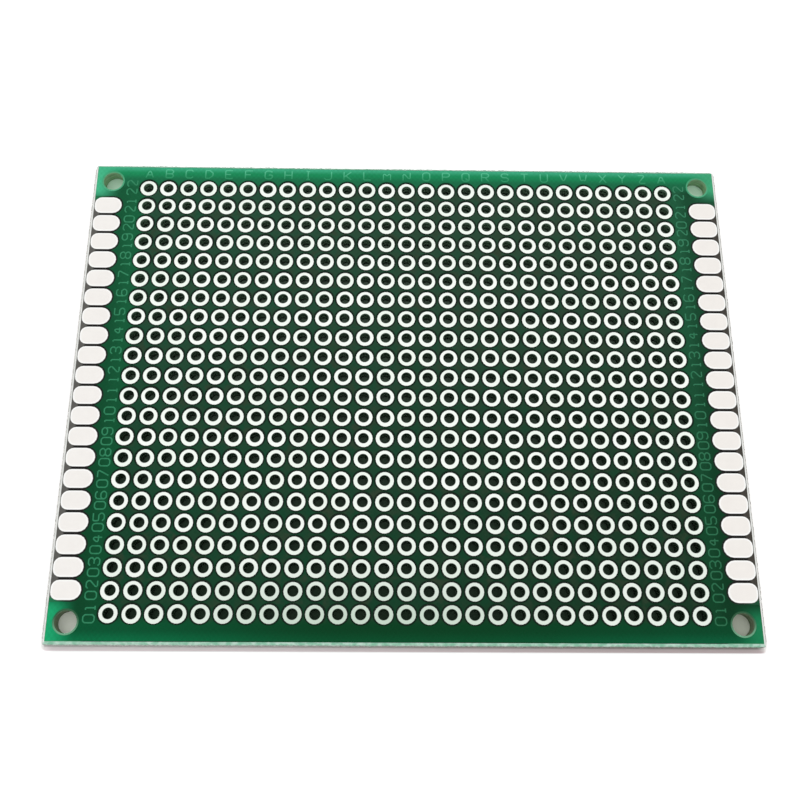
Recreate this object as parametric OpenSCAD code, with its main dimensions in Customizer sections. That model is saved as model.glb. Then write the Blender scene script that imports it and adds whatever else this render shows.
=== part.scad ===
// Double-sided prototype circuit board. A drilled glass-epoxy laminate carries a grid of
// plated holes, a row of tinned pads along each short side and a solder mask on both faces.
// X runs along the board, Y away from the front edge and Z up from the surface it lies on.

/* [Board] */
// Length of the board along X
board_w = 80; // [50:1:160]
// Depth of the board along Y
board_d = 60; // [40:1:100]
// Thickness of the glass-epoxy laminate
laminate_t = 1.5; // [1:0.1:3]
// Depth of the score lines that the four edges were broken along
score_depth = 0.4; // [0.1:0.05:0.6]
// How far a score line cuts into a face
score_run = 0.3; // [0.05:0.01:0.5]

/* [Plated holes] */
// Distance between neighbouring holes, along X and along Y
hole_pitch = 2.54; // [2.4:0.02:5.08]
// Finished inside diameter of a plated hole
lead_hole_d = 1.1; // [0.6:0.05:1.4]
// Thickness of the plating on the wall of a hole
plating_t = 0.05; // [0.02:0.01:0.1]
// Outside diameter of the ring round a plated hole
ring_d = 2.12; // [1.8:0.02:2.2]
// How far the tin slopes in from each rim of a ring
rim_run = 0.12; // [0.04:0.02:0.14]
// How much lower a ring is at its rims than at its crown
rim_drop = 0.02; // [0.01:0.005:0.025]

/* [Edge pads] */
// Length of an edge pad along X
edge_pad_l = 3.45; // [2:0.05:5]
// Gap between neighbouring edge pads
edge_pad_gap = 0.27; // [0.15:0.01:0.6]
// Radius of the two corners at the outer end of an edge pad
edge_pad_corner_r = 0.7; // [0.2:0.05:0.85]
// Bare strip between the edge pads and the rim of the face
edge_pad_inset = 0.05; // [0.05:0.05:0.6]

/* [Copper and mask] */
// Thickness of the tinned copper of rings and edge pads
pad_t = 0.05; // [0.03:0.01:0.12]
// Thickness of the solder mask
mask_t = 0.03; // [0.02:0.01:0.08]
// Bare laminate between a ring and the mask round it
ring_mask_gap = 0.12; // [0.05:0.01:0.16]
// Bare laminate between an edge pad and the mask round it
pad_mask_gap = 0.18; // [0.14:0.01:0.3]
// Bare laminate between a mounting hole and the mask round it
mount_mask_gap = 0.2; // [0.1:0.05:0.5]
// Bare laminate between the mask and the rim of the face that it covers
mask_rim_gap = 0.05; // [0.02:0.01:0.3]

/* [Mounting holes] */
// Diameter of a mounting hole
mount_hole_d = 2.5; // [1.6:0.1:3.2]
// Distance from the centre of a mounting hole to the two nearest edges
mount_inset = 2.4; // [2:0.1:3.5]

/* [Grid labels] */
// Least strip kept free for the row numbers, between the edge pads and the rings
row_label_strip = 2; // [1.5:0.1:4]
// Least strip kept free for the column letters, between the rings and the face's rim
column_label_strip = 1.8; // [1.5:0.1:4]

/* [Hidden] */
// Fineness of the previewed circles
$fn = 48;
// How far a cut runs past the surface that it opens
cut_past = 1;

// Level of the laminate's lower face, which stands on the thicker of the two layers below it
laminate_z = max(pad_t, mask_t);
// Level of the laminate's upper face
face_z = laminate_z + laminate_t;
// Length and depth of the flat part of each face, between the score lines
face_w = board_w - 2 * score_run;
face_d = board_d - 2 * score_run;

// Drilled diameter of a plated hole, before plating
drill_d = lead_hole_d + 2 * plating_t;
// Room for ring centres between the label strips, along X and along Y
grid_room_x = face_w - 2 * (edge_pad_inset + edge_pad_l + row_label_strip) - ring_d;
grid_room_y = face_d - 2 * column_label_strip - ring_d;
// As many columns and rows as that room takes
columns = floor(grid_room_x / hole_pitch) + 1;
rows = floor(grid_room_y / hole_pitch) + 1;

// Place of the mounting holes from the middle of the board
mount_x = board_w / 2 - mount_inset;
mount_y = board_d / 2 - mount_inset;
// Radius of the opening in the mask round a mounting hole
mount_open_r = mount_hole_d / 2 + mount_mask_gap;

// Width of an edge pad along Y
edge_pad_w = hole_pitch - edge_pad_gap;
// Inner end of the edge pads, from the middle of the board
edge_pad_x = face_w / 2 - edge_pad_inset - edge_pad_l;
// Half the depth of the face that an edge pad and its opening take up
edge_pad_reach = edge_pad_w / 2 + pad_mask_gap;
// The rows that have an edge pad on each side are those clear of the mounting holes
edge_pad_rows = [for (r = [0 : rows - 1]) if (abs(row_y(r)) + edge_pad_reach < mount_y - mount_open_r) r];

// Place of a column or a row, counted from the left front corner
function column_x(c) = (c - (columns - 1) / 2) * hole_pitch;
function row_y(r) = (r - (rows - 1) / 2) * hole_pitch;
// Name of the node that holds the plated holes of one row, numbered from the front
function two_digits(n) = n < 10 ? str("0", n) : str(n);
function row_node(r) = str("plated_holes_row_", two_digits(r + 1));

module on_grid() {
    for (r = [0 : rows - 1])
        for (c = [0 : columns - 1])
            translate([column_x(c), row_y(r)]) children();
}

module at_mount_holes() {
    for (x = [-mount_x, mount_x])
        for (y = [-mount_y, mount_y])
            translate([x, y]) children();
}

// Children drawn for the right side (1) or turned round for the left side (-1)
module on_side(side) {
    rotate(side > 0 ? 0 : 180) children();
}

// A through cut in the laminate
module drilled(d) {
    translate([0, 0, laminate_z - cut_past])
        cylinder(d = d, h = laminate_t + 2 * cut_past);
}

// Section of the blank board between two of its edges, narrowed at both faces by their score lines
module scored_section(across) {
    half = across / 2;
    half_face = half - score_run;
    polygon([
        [-half_face, 0], [half_face, 0],
        [half, score_depth], [half, laminate_t - score_depth],
        [half_face, laminate_t], [-half_face, laminate_t],
        [-half, laminate_t - score_depth], [-half, score_depth]
    ]);
}

// The board before drilling, scored along all four edges
module blank() {
    intersection() {
        translate([-board_w / 2 - cut_past, 0, laminate_z])
            rotate([90, 0, 90])
                linear_extrude(board_w + 2 * cut_past)
                    scored_section(board_d);
        translate([0, board_d / 2 + cut_past, laminate_z])
            rotate([90, 0, 0])
                linear_extrude(board_d + 2 * cut_past)
                    scored_section(board_w);
    }
}

module substrate() {
    color([0.62, 0.68, 0.58])
        difference() {
            blank();
            on_grid() drilled(drill_d);
            at_mount_holes() drilled(mount_hole_d);
        }
}

// Outline of one edge pad, from its full-round inner end at the origin out along +X
module edge_pad_outline() {
    round_r = edge_pad_w / 2;
    corner_y = round_r - edge_pad_corner_r;
    translate([round_r, 0])
        circle(r = round_r);
    translate([round_r, -round_r])
        square([edge_pad_l - round_r - edge_pad_corner_r, edge_pad_w]);
    translate([round_r, -corner_y])
        square([edge_pad_l - round_r, 2 * corner_y]);
    for (y = [-corner_y, corner_y])
        translate([edge_pad_l - edge_pad_corner_r, y])
            circle(r = edge_pad_corner_r);
}

// Opening in the mask round one edge pad, which runs out over the side of the board
module edge_pad_opening() {
    round_r = edge_pad_w / 2;
    translate([round_r, 0])
        circle(r = edge_pad_reach);
    translate([round_r, -edge_pad_reach])
        square([edge_pad_l - round_r + edge_pad_inset + cut_past, 2 * edge_pad_reach]);
}

module edge_pads(side, z) {
    color([0.93, 0.92, 0.9])
        on_side(side)
            for (r = edge_pad_rows)
                translate([edge_pad_x, row_y(r), z])
                    linear_extrude(pad_t)
                        edge_pad_outline();
}

module mask_outline() {
    difference() {
        square([face_w - 2 * mask_rim_gap, face_d - 2 * mask_rim_gap], center = true);
        on_grid() circle(d = ring_d + 2 * ring_mask_gap);
        at_mount_holes() circle(r = mount_open_r);
        for (side = [-1, 1])
            on_side(side)
                for (r = edge_pad_rows)
                    translate([edge_pad_x, row_y(r)]) edge_pad_opening();
    }
}

module solder_mask(z) {
    color([0.06, 0.38, 0.23])
        translate([0, 0, z])
            linear_extrude(mask_t)
                mask_outline();
}

// Half section of a plated hole: a barrel through the laminate with a crowned ring at each end
module plated_section() {
    bore_r = lead_hole_d / 2;
    drill_r = drill_d / 2;
    ring_r = ring_d / 2;
    low_z = laminate_z - pad_t;
    high_z = face_z + pad_t;
    polygon([
        [bore_r, low_z + rim_drop], [bore_r + rim_run, low_z],
        [ring_r - rim_run, low_z], [ring_r, low_z + rim_drop],
        [ring_r, laminate_z], [drill_r, laminate_z],
        [drill_r, face_z], [ring_r, face_z],
        [ring_r, high_z - rim_drop], [ring_r - rim_run, high_z],
        [bore_r + rim_run, high_z], [bore_r, high_z - rim_drop]
    ]);
}

module plated_holes_row(r) {
    color([0.9, 0.9, 0.87])
        for (c = [0 : columns - 1])
            translate([column_x(c), row_y(r), 0])
                rotate_extrude()
                    plated_section();
}

substrate();
solder_mask(face_z);  // solder_mask_top
solder_mask(laminate_z - mask_t);  // solder_mask_bottom
edge_pads(-1, face_z);  // edge_pads_left_top
edge_pads(1, face_z);  // edge_pads_right_top
edge_pads(-1, laminate_z - pad_t);  // edge_pads_left_bottom
edge_pads(1, laminate_z - pad_t);  // edge_pads_right_bottom
for (r = [0 : rows - 1])
    plated_holes_row(r);
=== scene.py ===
# %% [markdown]
# # A prototype circuit board
#
# The real board is a flat sheet of glass cloth and resin with a grid of tinned holes, a row of
# tinned pads down each short side and a green solder mask over both faces. Its exact solids come
# in here as a fixed frame, so every size is already right. This lesson gives the board its looks:
# crowned tin, a glossy mask with the cloth under it, torn glass along the broken edges and the
# labels of the grid.

import math

import bpy
from mathutils import Matrix, Vector, noise


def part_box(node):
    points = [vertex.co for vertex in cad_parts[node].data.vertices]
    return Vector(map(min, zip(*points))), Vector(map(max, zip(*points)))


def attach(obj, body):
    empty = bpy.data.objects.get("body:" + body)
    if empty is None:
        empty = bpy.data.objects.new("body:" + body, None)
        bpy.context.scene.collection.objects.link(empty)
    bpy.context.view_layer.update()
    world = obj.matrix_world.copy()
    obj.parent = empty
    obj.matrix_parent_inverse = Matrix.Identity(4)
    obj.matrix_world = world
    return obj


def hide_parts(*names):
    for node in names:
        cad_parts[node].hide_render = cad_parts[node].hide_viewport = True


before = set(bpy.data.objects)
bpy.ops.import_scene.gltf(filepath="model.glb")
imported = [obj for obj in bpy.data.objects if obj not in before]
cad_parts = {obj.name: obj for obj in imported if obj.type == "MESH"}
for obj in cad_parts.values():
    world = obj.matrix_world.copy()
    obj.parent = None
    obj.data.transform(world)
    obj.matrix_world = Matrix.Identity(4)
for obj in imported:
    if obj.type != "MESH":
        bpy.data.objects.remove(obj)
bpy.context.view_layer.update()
scene = bpy.context.scene
MM = 0.001

# %% [markdown]
# ## Sizes, read from the solids
#
# A piece that dresses a solid has to fit it. The sizes could be typed in a second time, but two
# lists of numbers drift apart, so they are read from the boxes of the solids instead: the levels
# of the layers, the pitch of the grid and the outline of the pads.

# %% Levels and grid
row_names = sorted(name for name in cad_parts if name.startswith("plated_holes_row_"))
first_low, first_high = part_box(row_names[0])
last_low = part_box(row_names[-1])[0]
board_low, board_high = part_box("substrate")
mask_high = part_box("solder_mask_top")[1]

ROWS = len(row_names)
RING_R = (first_high.y - first_low.y) / 2
PITCH = (last_low.y - first_low.y) / (ROWS - 1)
COLUMNS = round((first_high.x - first_low.x - 2 * RING_R) / PITCH) + 1
CROWN_Z = first_high.z
FACE_Z = board_high.z
UNDER_Z = board_low.z
MASK_Z = mask_high.z
MIDDLE_Z = (FACE_Z + UNDER_Z) / 2
print("grid:", COLUMNS, "by", ROWS, "at", round(PITCH / MM, 3), "mm; ring", round(2 * RING_R / MM, 3), "mm")

# %% [markdown]
# ## The camera
#
# The photograph looks steeply down on the board from a little in front of it, with the camera
# close by and turned a few degrees. Here the camera aims at a point near the middle of the upper
# face, from an elevation and an azimuth, and is then rolled about its own axis. The focal length is
# given in widths of the square image, which is easy to measure on a photograph, and Blender's lens
# follows from it.

# %% Camera at the photograph's viewing angle
CAMERA_ELEVATION = math.radians(72.0)
CAMERA_AZIMUTH = math.radians(-3.0)
CAMERA_ROLL = math.radians(3.31)
CAMERA_DISTANCE = 112.6 * MM
AIM_X, AIM_Y = -0.78 * MM, -1.61 * MM
FOCAL_WIDTHS = 1.18
SENSOR_MM = 36.0
CLIP_START = 5 * MM

aim = Vector((AIM_X, AIM_Y, CROWN_Z))
level = math.cos(CAMERA_ELEVATION)
away = Vector((
    level * math.sin(CAMERA_AZIMUTH), -level * math.cos(CAMERA_AZIMUTH), math.sin(CAMERA_ELEVATION)))
right = Vector((math.cos(CAMERA_AZIMUTH), math.sin(CAMERA_AZIMUTH), 0))
up = away.cross(right)
image_right = right * math.cos(CAMERA_ROLL) + up * math.sin(CAMERA_ROLL)
image_up = up * math.cos(CAMERA_ROLL) - right * math.sin(CAMERA_ROLL)
camera_data = bpy.data.cameras.new("photo_camera")
camera_data.sensor_width = SENSOR_MM
camera_data.lens = SENSOR_MM * FOCAL_WIDTHS
camera_data.clip_start = CLIP_START
camera = bpy.data.objects.new("photo_camera", camera_data)
camera.location = aim + CAMERA_DISTANCE * away
camera.rotation_euler = Matrix((image_right, image_up, away)).transposed().to_euler()
scene.collection.objects.link(camera)
scene.camera = camera
print("camera at mm:", [round(c / MM, 1) for c in camera.location], "lens", round(camera_data.lens, 1))

# %% [markdown]
# ## A small kit for finishes
#
# Each finish is a material made of nodes. Written out in full, the nodes of one finish take
# hundreds of lines, so a small class adds one node per call and hands back its result. Places
# are in millimetres, from the object's own coordinates, so a pattern stays on the board from
# whichever side it is seen. Colours are written as they look on the photograph.

# %% Finish kit
# Tones that change across the whole board do so up to this far from its middle, in millimetres
SHADE_X = 36
SHADE_Y = 28


def looks(red, green, blue):
    """A colour as seen on screen, 0 to 255, as the linear colour that a shader takes."""
    shares = [c / 255 for c in (red, green, blue)]
    linear = [s / 12.92 if s <= 0.04045 else ((s + 0.055) / 1.055) ** 2.4 for s in shares]
    return (*linear, 1.0)


class Finish:
    """A material under construction."""

    def __init__(self, name):
        self.material = bpy.data.materials.new(name)
        self.material.use_nodes = True
        self.tree = self.material.node_tree
        self.shader = self.tree.nodes["Principled BSDF"]
        coordinates = self.tree.nodes.new("ShaderNodeTexCoord")
        self.place = self.vector("SCALE", coordinates.outputs["Object"], 1 / MM)
        parts = self.tree.nodes.new("ShaderNodeSeparateXYZ")
        self.put(parts.inputs[0], self.place)
        self.x, self.y, self.z = parts.outputs

    def put(self, socket, value):
        """Links a node's result to a socket, or sets the socket to a plain value."""
        if isinstance(value, bpy.types.NodeSocket):
            self.tree.links.new(value, socket)
        else:
            socket.default_value = value

    def maths(self, operation, a, b=0.0, c=0.0):
        node = self.tree.nodes.new("ShaderNodeMath")
        node.operation = operation
        self.put(node.inputs[0], a)
        self.put(node.inputs[1], b)
        self.put(node.inputs[2], c)
        return node.outputs[0]

    def vector(self, operation, a, b):
        node = self.tree.nodes.new("ShaderNodeVectorMath")
        node.operation = operation
        self.put(node.inputs[0], a)
        self.put(node.inputs["Scale"] if operation == "SCALE" else node.inputs[1], b)
        return node.outputs[0]

    def length(self, vector):
        node = self.tree.nodes.new("ShaderNodeVectorMath")
        node.operation = "LENGTH"
        self.put(node.inputs[0], vector)
        return node.outputs["Value"]

    def rise(self, value, start, end):
        """0 before start and 1 after end, with a smooth step between them."""
        node = self.tree.nodes.new("ShaderNodeMapRange")
        node.interpolation_type = "SMOOTHSTEP"
        self.put(node.inputs["Value"], value)
        self.put(node.inputs["From Min"], start)
        self.put(node.inputs["From Max"], end)
        return node.outputs["Result"]

    def to_right(self):
        """0 at the left side of the board and 1 at its right side."""
        return self.rise(self.x, -SHADE_X, SHADE_X)

    def to_back(self):
        """0 at the front edge of the board and 1 at its back edge."""
        return self.rise(self.y, -SHADE_Y, SHADE_Y)

    def noise(self, per_mm, detail=2.0, stretch=(1, 1, 1)):
        """Soft noise from 0 to 1, with about per_mm lumps in a millimetre."""
        node = self.tree.nodes.new("ShaderNodeTexNoise")
        self.put(node.inputs["Vector"], self.vector("MULTIPLY", self.place, stretch))
        self.put(node.inputs["Scale"], per_mm)
        self.put(node.inputs["Detail"], detail)
        return node.outputs["Fac"]

    def chance(self, vector):
        """One fixed random number for each different vector."""
        node = self.tree.nodes.new("ShaderNodeTexWhiteNoise")
        self.put(node.inputs["Vector"], vector)
        return node.outputs["Value"]

    def attribute(self, name):
        node = self.tree.nodes.new("ShaderNodeAttribute")
        node.attribute_name = name
        return node.outputs["Fac"]

    def blend(self, share, first, second):
        """The first colour where share is 0, the second where it is 1."""
        node = self.tree.nodes.new("ShaderNodeMix")
        node.data_type = "RGBA"
        self.put(node.inputs["Factor"], share)
        self.put(node.inputs[6], first)
        self.put(node.inputs[7], second)
        return node.outputs[2]

    def relief(self, height, depth_mm, strength=1.0):
        """Bump from a height of 0 to 1, depth_mm deep."""
        node = self.tree.nodes.new("ShaderNodeBump")
        self.put(node.inputs["Height"], height)
        self.put(node.inputs["Distance"], depth_mm * MM)
        self.put(node.inputs["Strength"], strength)
        self.put(self.shader.inputs["Normal"], node.outputs["Normal"])

    def set(self, **values):
        """Sets or links the shader's own sockets, such as Roughness."""
        for name, value in values.items():
            self.put(self.shader.inputs[name.replace("_", " ")], value)


def dress(node, finish):
    """Gives a CAD node a finish in place of its plain one."""
    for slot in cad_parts[node].material_slots:
        slot.material = finish.material


print("finish kit ready")

# %% [markdown]
# ## The green solder mask
#
# The mask is a printed film of clear green resin, thinner than a hair. Over bare laminate it looks
# dark and a little brown. Along the borders, where light comes back out of the board's edge, it turns
# a bright clear green. One flat green would lose that, so the finish starts from a dark tone for the
# field of holes and lays lighter tones over it for the label strips, the long edges and the corners:
# that glow out of the edges is painted light. The field is also painted lighter towards the back and
# the left, partly for the light that falls there.
# Gloss adds a little white to every tone, so each one is written as seen and made darker by as much.

# %% Finish of the solder mask: the field of holes
MASK_GLOSS = 0.06
GLOSS_SHARE = 0.08 * MASK_GLOSS


def under_gloss(red, green, blue):
    """A colour as seen, less the white that the film's gloss lays over it."""
    linear = looks(red, green, blue)
    return (*[max(c - GLOSS_SHARE, 0.0008) for c in linear[:3]], 1.0)


mask = Finish("green_solder_mask")
off_x = mask.maths("ABSOLUTE", mask.x)
off_y = mask.maths("ABSOLUTE", mask.y)
to_right = mask.to_right()
to_back = mask.to_back()

# Painted light, in part: the field is lighter towards the back and a little lighter on the left
front_field = mask.blend(to_right, under_gloss(28, 70, 48), under_gloss(29, 58, 40))
back_field = mask.blend(to_right, under_gloss(42, 80, 60), under_gloss(50, 75, 59))
green = mask.blend(to_back, front_field, back_field)
in_pitches = mask.vector("ADD", mask.vector("SCALE", mask.place, MM / PITCH), (0, 0.5, 0))
in_pitches = mask.vector("MULTIPLY", in_pitches, (1, 1, 0))
luck = mask.chance(mask.vector("FLOOR", in_pitches, (0, 0, 0)))
brown = mask.rise(mask.noise(0.8, 2.0), 0.42, 0.68)
brown = mask.maths("MULTIPLY", brown, mask.maths("MULTIPLY_ADD", luck, 0.8, 0.1))
green = mask.blend(brown, green, under_gloss(54, 66, 51))
clear = mask.maths("MULTIPLY", mask.rise(mask.noise(0.6, 2.0, (1.1, 0.9, 1.0)), 0.48, 0.68), 0.5)
green = mask.blend(clear, green, mask.blend(to_back, under_gloss(20, 69, 45), under_gloss(32, 81, 58)))
print("tones of the field:", len(mask.tree.nodes), "nodes")

# %% Finish of the solder mask: dark line round each ring
# Next to a ring the film is darkened in a thin band, which looks nearly black
RING_MASK_GAP = 0.12
DARK_BAND_W = 0.15
OPENING_R = RING_R / MM + RING_MASK_GAP
GRID_X = (COLUMNS - 1) / 2 * PITCH / MM
GRID_Y = (ROWS - 1) / 2 * PITCH / MM

from_ring = mask.vector("FRACTION", mask.vector("ADD", in_pitches, (0.5, 0.5, 0)), (0, 0, 0))
from_ring = mask.vector("MULTIPLY", mask.vector("SUBTRACT", from_ring, (0.5, 0.5, 0)), (1, 1, 0))
ring_distance = mask.maths("MULTIPLY", mask.length(from_ring), PITCH / MM)
dark_band = mask.rise(ring_distance, OPENING_R + DARK_BAND_W, OPENING_R)
inside_grid = mask.maths("LESS_THAN", mask.maths("SUBTRACT", off_x, GRID_X), PITCH / MM / 2)
inside_grid = mask.maths("MULTIPLY", inside_grid, mask.maths(
    "LESS_THAN", mask.maths("SUBTRACT", off_y, GRID_Y), PITCH / MM / 2))
dark_band = mask.maths("MULTIPLY", mask.maths("MULTIPLY", dark_band, inside_grid), 0.85)
print("opening round a ring:", round(2 * OPENING_R, 2), "mm")

# %% Finish of the solder mask: borders and corners
# Where each tone starts and where it is full, in millimetres from the middle of the board
LABEL_STRIP_X = (32.7, 33.8)
BY_PADS_X = (34.4, 36.2)
LEFT_PART_X = (-36, -6)
RIGHT_PART_X = (6, 36)
FRONT_STRIP_Y = (-26.8, -27.9)
FRONT_LIP_Y = (-28.3, -29.6)
BACK_STRIP_Y = (26.6, 27.6)
BACK_LETTERS_Y = (27.8, 28.9)
BACK_LIP_Y = (28.8, 29.6)
CORNER_GLOW_X = (36.4, 39.5)
# The glow of a corner starts here on the left, later on the right, and takes a while to be full
CORNER_GLOW_Y = 24.2
LATER_ON_RIGHT = 0.9
CORNER_GLOW_RUN = 2.4

# Painted light: the label strips, the front and back strips and the corners are lighter, a painted glow of
# light out of the board's edges, and lighter on the left than on the right
left_labels = mask.blend(to_back, under_gloss(21, 78, 48), under_gloss(29, 99, 64))
right_labels = mask.blend(to_back, under_gloss(23, 70, 44), under_gloss(37, 94, 65))
labels_tone = mask.blend(mask.maths("GREATER_THAN", mask.x, 0.0), left_labels, right_labels)
shade_by_pads = mask.maths("MULTIPLY_ADD", to_right, 0.18, 0.22)
by_pads = mask.maths("MULTIPLY", mask.rise(off_x, *BY_PADS_X), shade_by_pads)
labels_tone = mask.blend(by_pads, labels_tone, under_gloss(13, 44, 27))
green = mask.blend(mask.rise(off_x, *LABEL_STRIP_X), green, labels_tone)

from_left = mask.rise(mask.x, *LEFT_PART_X)
to_far_right = mask.rise(mask.x, *RIGHT_PART_X)
front_strip = mask.blend(from_left, under_gloss(14, 88, 54), under_gloss(9, 67, 38))
front_strip = mask.blend(to_far_right, front_strip, under_gloss(14, 76, 46))
front_lip = mask.blend(from_left, under_gloss(18, 112, 70), under_gloss(14, 80, 47))
front_lip = mask.blend(to_far_right, front_lip, under_gloss(18, 95, 60))
green = mask.blend(mask.rise(mask.y, *FRONT_STRIP_Y), green, front_strip)
green = mask.blend(mask.rise(mask.y, *FRONT_LIP_Y), green, front_lip)

# The back strip, the letters and the back lip get the brightest painted glow
green = mask.blend(mask.rise(mask.y, *BACK_STRIP_Y), green, under_gloss(33, 112, 75))
green = mask.blend(mask.rise(mask.y, *BACK_LETTERS_Y), green, under_gloss(33, 143, 92))
green = mask.blend(mask.rise(mask.y, *BACK_LIP_Y), green, under_gloss(66, 176, 133))

glow_start = mask.maths("MULTIPLY_ADD", to_right, LATER_ON_RIGHT, CORNER_GLOW_Y)
outer_end = mask.rise(off_y, glow_start, mask.maths("ADD", glow_start, CORNER_GLOW_RUN))
outer_end = mask.maths("MULTIPLY", outer_end, mask.rise(off_x, *CORNER_GLOW_X))
front_glow = mask.blend(to_right, under_gloss(36, 172, 115), under_gloss(36, 132, 87))
back_glow = mask.blend(to_right, under_gloss(74, 188, 141), under_gloss(70, 172, 125))
green = mask.blend(outer_end, green, mask.blend(to_back, front_glow, back_glow))

CLOTH_PITCH_X = 0.62
CLOTH_PITCH_Y = 0.74
cloud = mask.maths("MULTIPLY", mask.rise(mask.noise(0.35, 3.0), 0.45, 0.75), 0.06)
green = mask.blend(cloud, green, under_gloss(20, 52, 34))
green = mask.blend(dark_band, green, under_gloss(12, 29, 20))
warp = mask.maths("SINE", mask.maths("MULTIPLY", mask.x, 2 * math.pi / CLOTH_PITCH_X))
weft = mask.maths("SINE", mask.maths("MULTIPLY", mask.y, 2 * math.pi / CLOTH_PITCH_Y))
cloth = mask.maths("MULTIPLY_ADD", mask.maths("MULTIPLY", warp, weft), 0.5, 0.5)
cloth = mask.maths("MULTIPLY", cloth, mask.noise(0.5, 1.0))
green = mask.blend(mask.maths("MULTIPLY", cloth, 0.22), green, under_gloss(14, 48, 30))
mask.set(Base_Color=green, Specular_IOR_Level=MASK_GLOSS)
mask.set(Roughness=mask.maths("MULTIPLY_ADD", mask.noise(1.6, 2.0), 0.16, 0.2))
mask.relief(mask.noise(2.2, 3.0), 0.006)
dress("solder_mask_top", mask)
dress("solder_mask_bottom", mask)
print("solder mask:", len(mask.tree.nodes), "nodes")

# %% [markdown]
# ## The glass laminate
#
# Under the mask lies woven glass cloth set in resin. It shows as a thin dark line round every ring and
# between the edge pads, and as the wall of the mounting holes, where its layers lie like pages. The
# solid itself is right, so it only needs a finish that tells these places apart by their height and
# their distance from the middle. Some of them carry painted light and shade: the bare corners, the
# film past the last pads and the rims and walls of the mounting holes. Its broken edges get their own
# skin further on.

# %% Finish of the laminate
HALF_THICK = (FACE_Z - UNDER_Z) / 2 / MM
PAD_STRIP_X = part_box("edge_pads_right_top")[0].x / MM
# Where its places start and where they are full, in millimetres from the middle of the board
PAD_CORNERS_X = (38.75, 39.1)
FILM_TIP_X = (37.6, 39.3)
FILM_END_Y = (24.7, 25.1)
MOUNT_Y = 27.6
BY_MOUNT_X = (35.4, 36.0)
BY_MOUNT_Y = (25.6, 26.0)

glass = Finish("glass_laminate")
off_x = glass.maths("ABSOLUTE", glass.x)
off_y = glass.maths("ABSOLUTE", glass.y)
to_right = glass.to_right()
to_back = glass.to_back()
off_middle = glass.maths("ABSOLUTE", glass.maths("SUBTRACT", glass.z, MIDDLE_Z / MM))
on_face = glass.rise(off_middle, HALF_THICK - 0.004, HALF_THICK - 0.001)

# Painted shade: the bare corners are darker on the right
corner_gap = glass.blend(to_right, looks(97, 96, 92), looks(66, 62, 56))
corner_gap = glass.blend(glass.maths("MULTIPLY", glass.noise(2.5, 2.0), 0.4), corner_gap, looks(58, 56, 52))
between_pads = glass.blend(glass.rise(off_x, *PAD_CORNERS_X), looks(9, 7, 6), corner_gap)
# Past the last pads the film runs right up to the tin. It is painted in shade beside the pad and gets the
# painted glow of the corners near the board's edge
film_tip = glass.blend(to_right, looks(26, 112, 72), looks(16, 76, 48))
film_end = glass.blend(glass.rise(off_x, *FILM_TIP_X), looks(10, 40, 26), film_tip)
between_pads = glass.blend(glass.rise(off_y, *FILM_END_Y), between_pads, film_end)
round_rings = glass.blend(glass.noise(1.1, 2.0), looks(5, 22, 13), looks(12, 30, 20))
past_inner_end = glass.rise(off_x, PAD_STRIP_X + 0.4, PAD_STRIP_X + 1.0)
bare_face = glass.blend(past_inner_end, round_rings, between_pads)
by_mount = glass.maths("MULTIPLY", glass.rise(off_y, *BY_MOUNT_Y), glass.rise(off_x, *BY_MOUNT_X))
mount_y = glass.maths("MULTIPLY", glass.maths("SIGN", glass.y), MOUNT_Y)
behind_mount = glass.maths("SUBTRACT", glass.y, mount_y)
# The bare ring round a mounting hole, with painted light: lighter on its front side and darker on its back
# side
lit_near_rim = glass.blend(to_back, looks(112, 170, 136), looks(80, 176, 132))
shaded_far_rim = glass.blend(to_back, looks(50, 96, 66), looks(76, 166, 122))
mount_rim = glass.blend(glass.rise(behind_mount, 0.9, -1.3), shaded_far_rim, lit_near_rim)
bare_face = glass.blend(by_mount, bare_face, mount_rim)

layers = glass.rise(glass.noise(1.0, 3.0, (0.8, 0.8, 9.0)), 0.35, 0.65)
# Painted light and shade: the walls of the front holes are darker, those of the back holes lit and greener
shaded_front_wall = glass.blend(layers, looks(90, 102, 79), looks(116, 133, 105))
lit_back_wall = glass.blend(layers, looks(114, 152, 112), looks(146, 182, 142))
cut_wall = glass.blend(to_back, shaded_front_wall, lit_back_wall)
glass.set(Base_Color=glass.blend(on_face, cut_wall, bare_face), Specular_IOR_Level=0.2)
glass.set(Roughness=glass.maths("MULTIPLY_ADD", glass.noise(4.0, 2.0), 0.25, 0.5))
glass.relief(glass.noise(5.0, 3.0, (1.0, 1.0, 2.5)), 0.02, 0.6)
dress("substrate", glass)
print("laminate:", len(glass.tree.nodes), "nodes")

# %% [markdown]
# ## Tin
#
# The bare copper was dipped in molten tin and blown level with hot air, which leaves a bright skin
# that domes a little over each ring and thins at the rims. Two finishes share that look. On the
# rings it turns to a painted shadowed tone over the lip and down the barrel, where hardly any light
# gets in, and it is painted darker towards the front, for less light and a dark reflection. On the
# edge pads a wider flat of satin tin lies inside a rim with a painted highlight. Attributes on the
# meshes say where each tone goes, because a ring a few pixels wide needs a crisp border.

# %% Finishes of the tin
# Where the tones of the rings start and where they are full, in millimetres from the middle
LESS_LIGHT_Y = (-7, -25)
REFLECTION_Y = (-19.5, -28)
REFLECTION_MIDDLE_X = -5.0
REFLECTION_REACH = (30, 4)
BARREL_Y = (-10, 26)
# Depth in a barrel at which its lip ends, and at which its wall is fully seen
LIP_DEPTH = 0.05
WALL_DEPTH = 0.55

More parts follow.
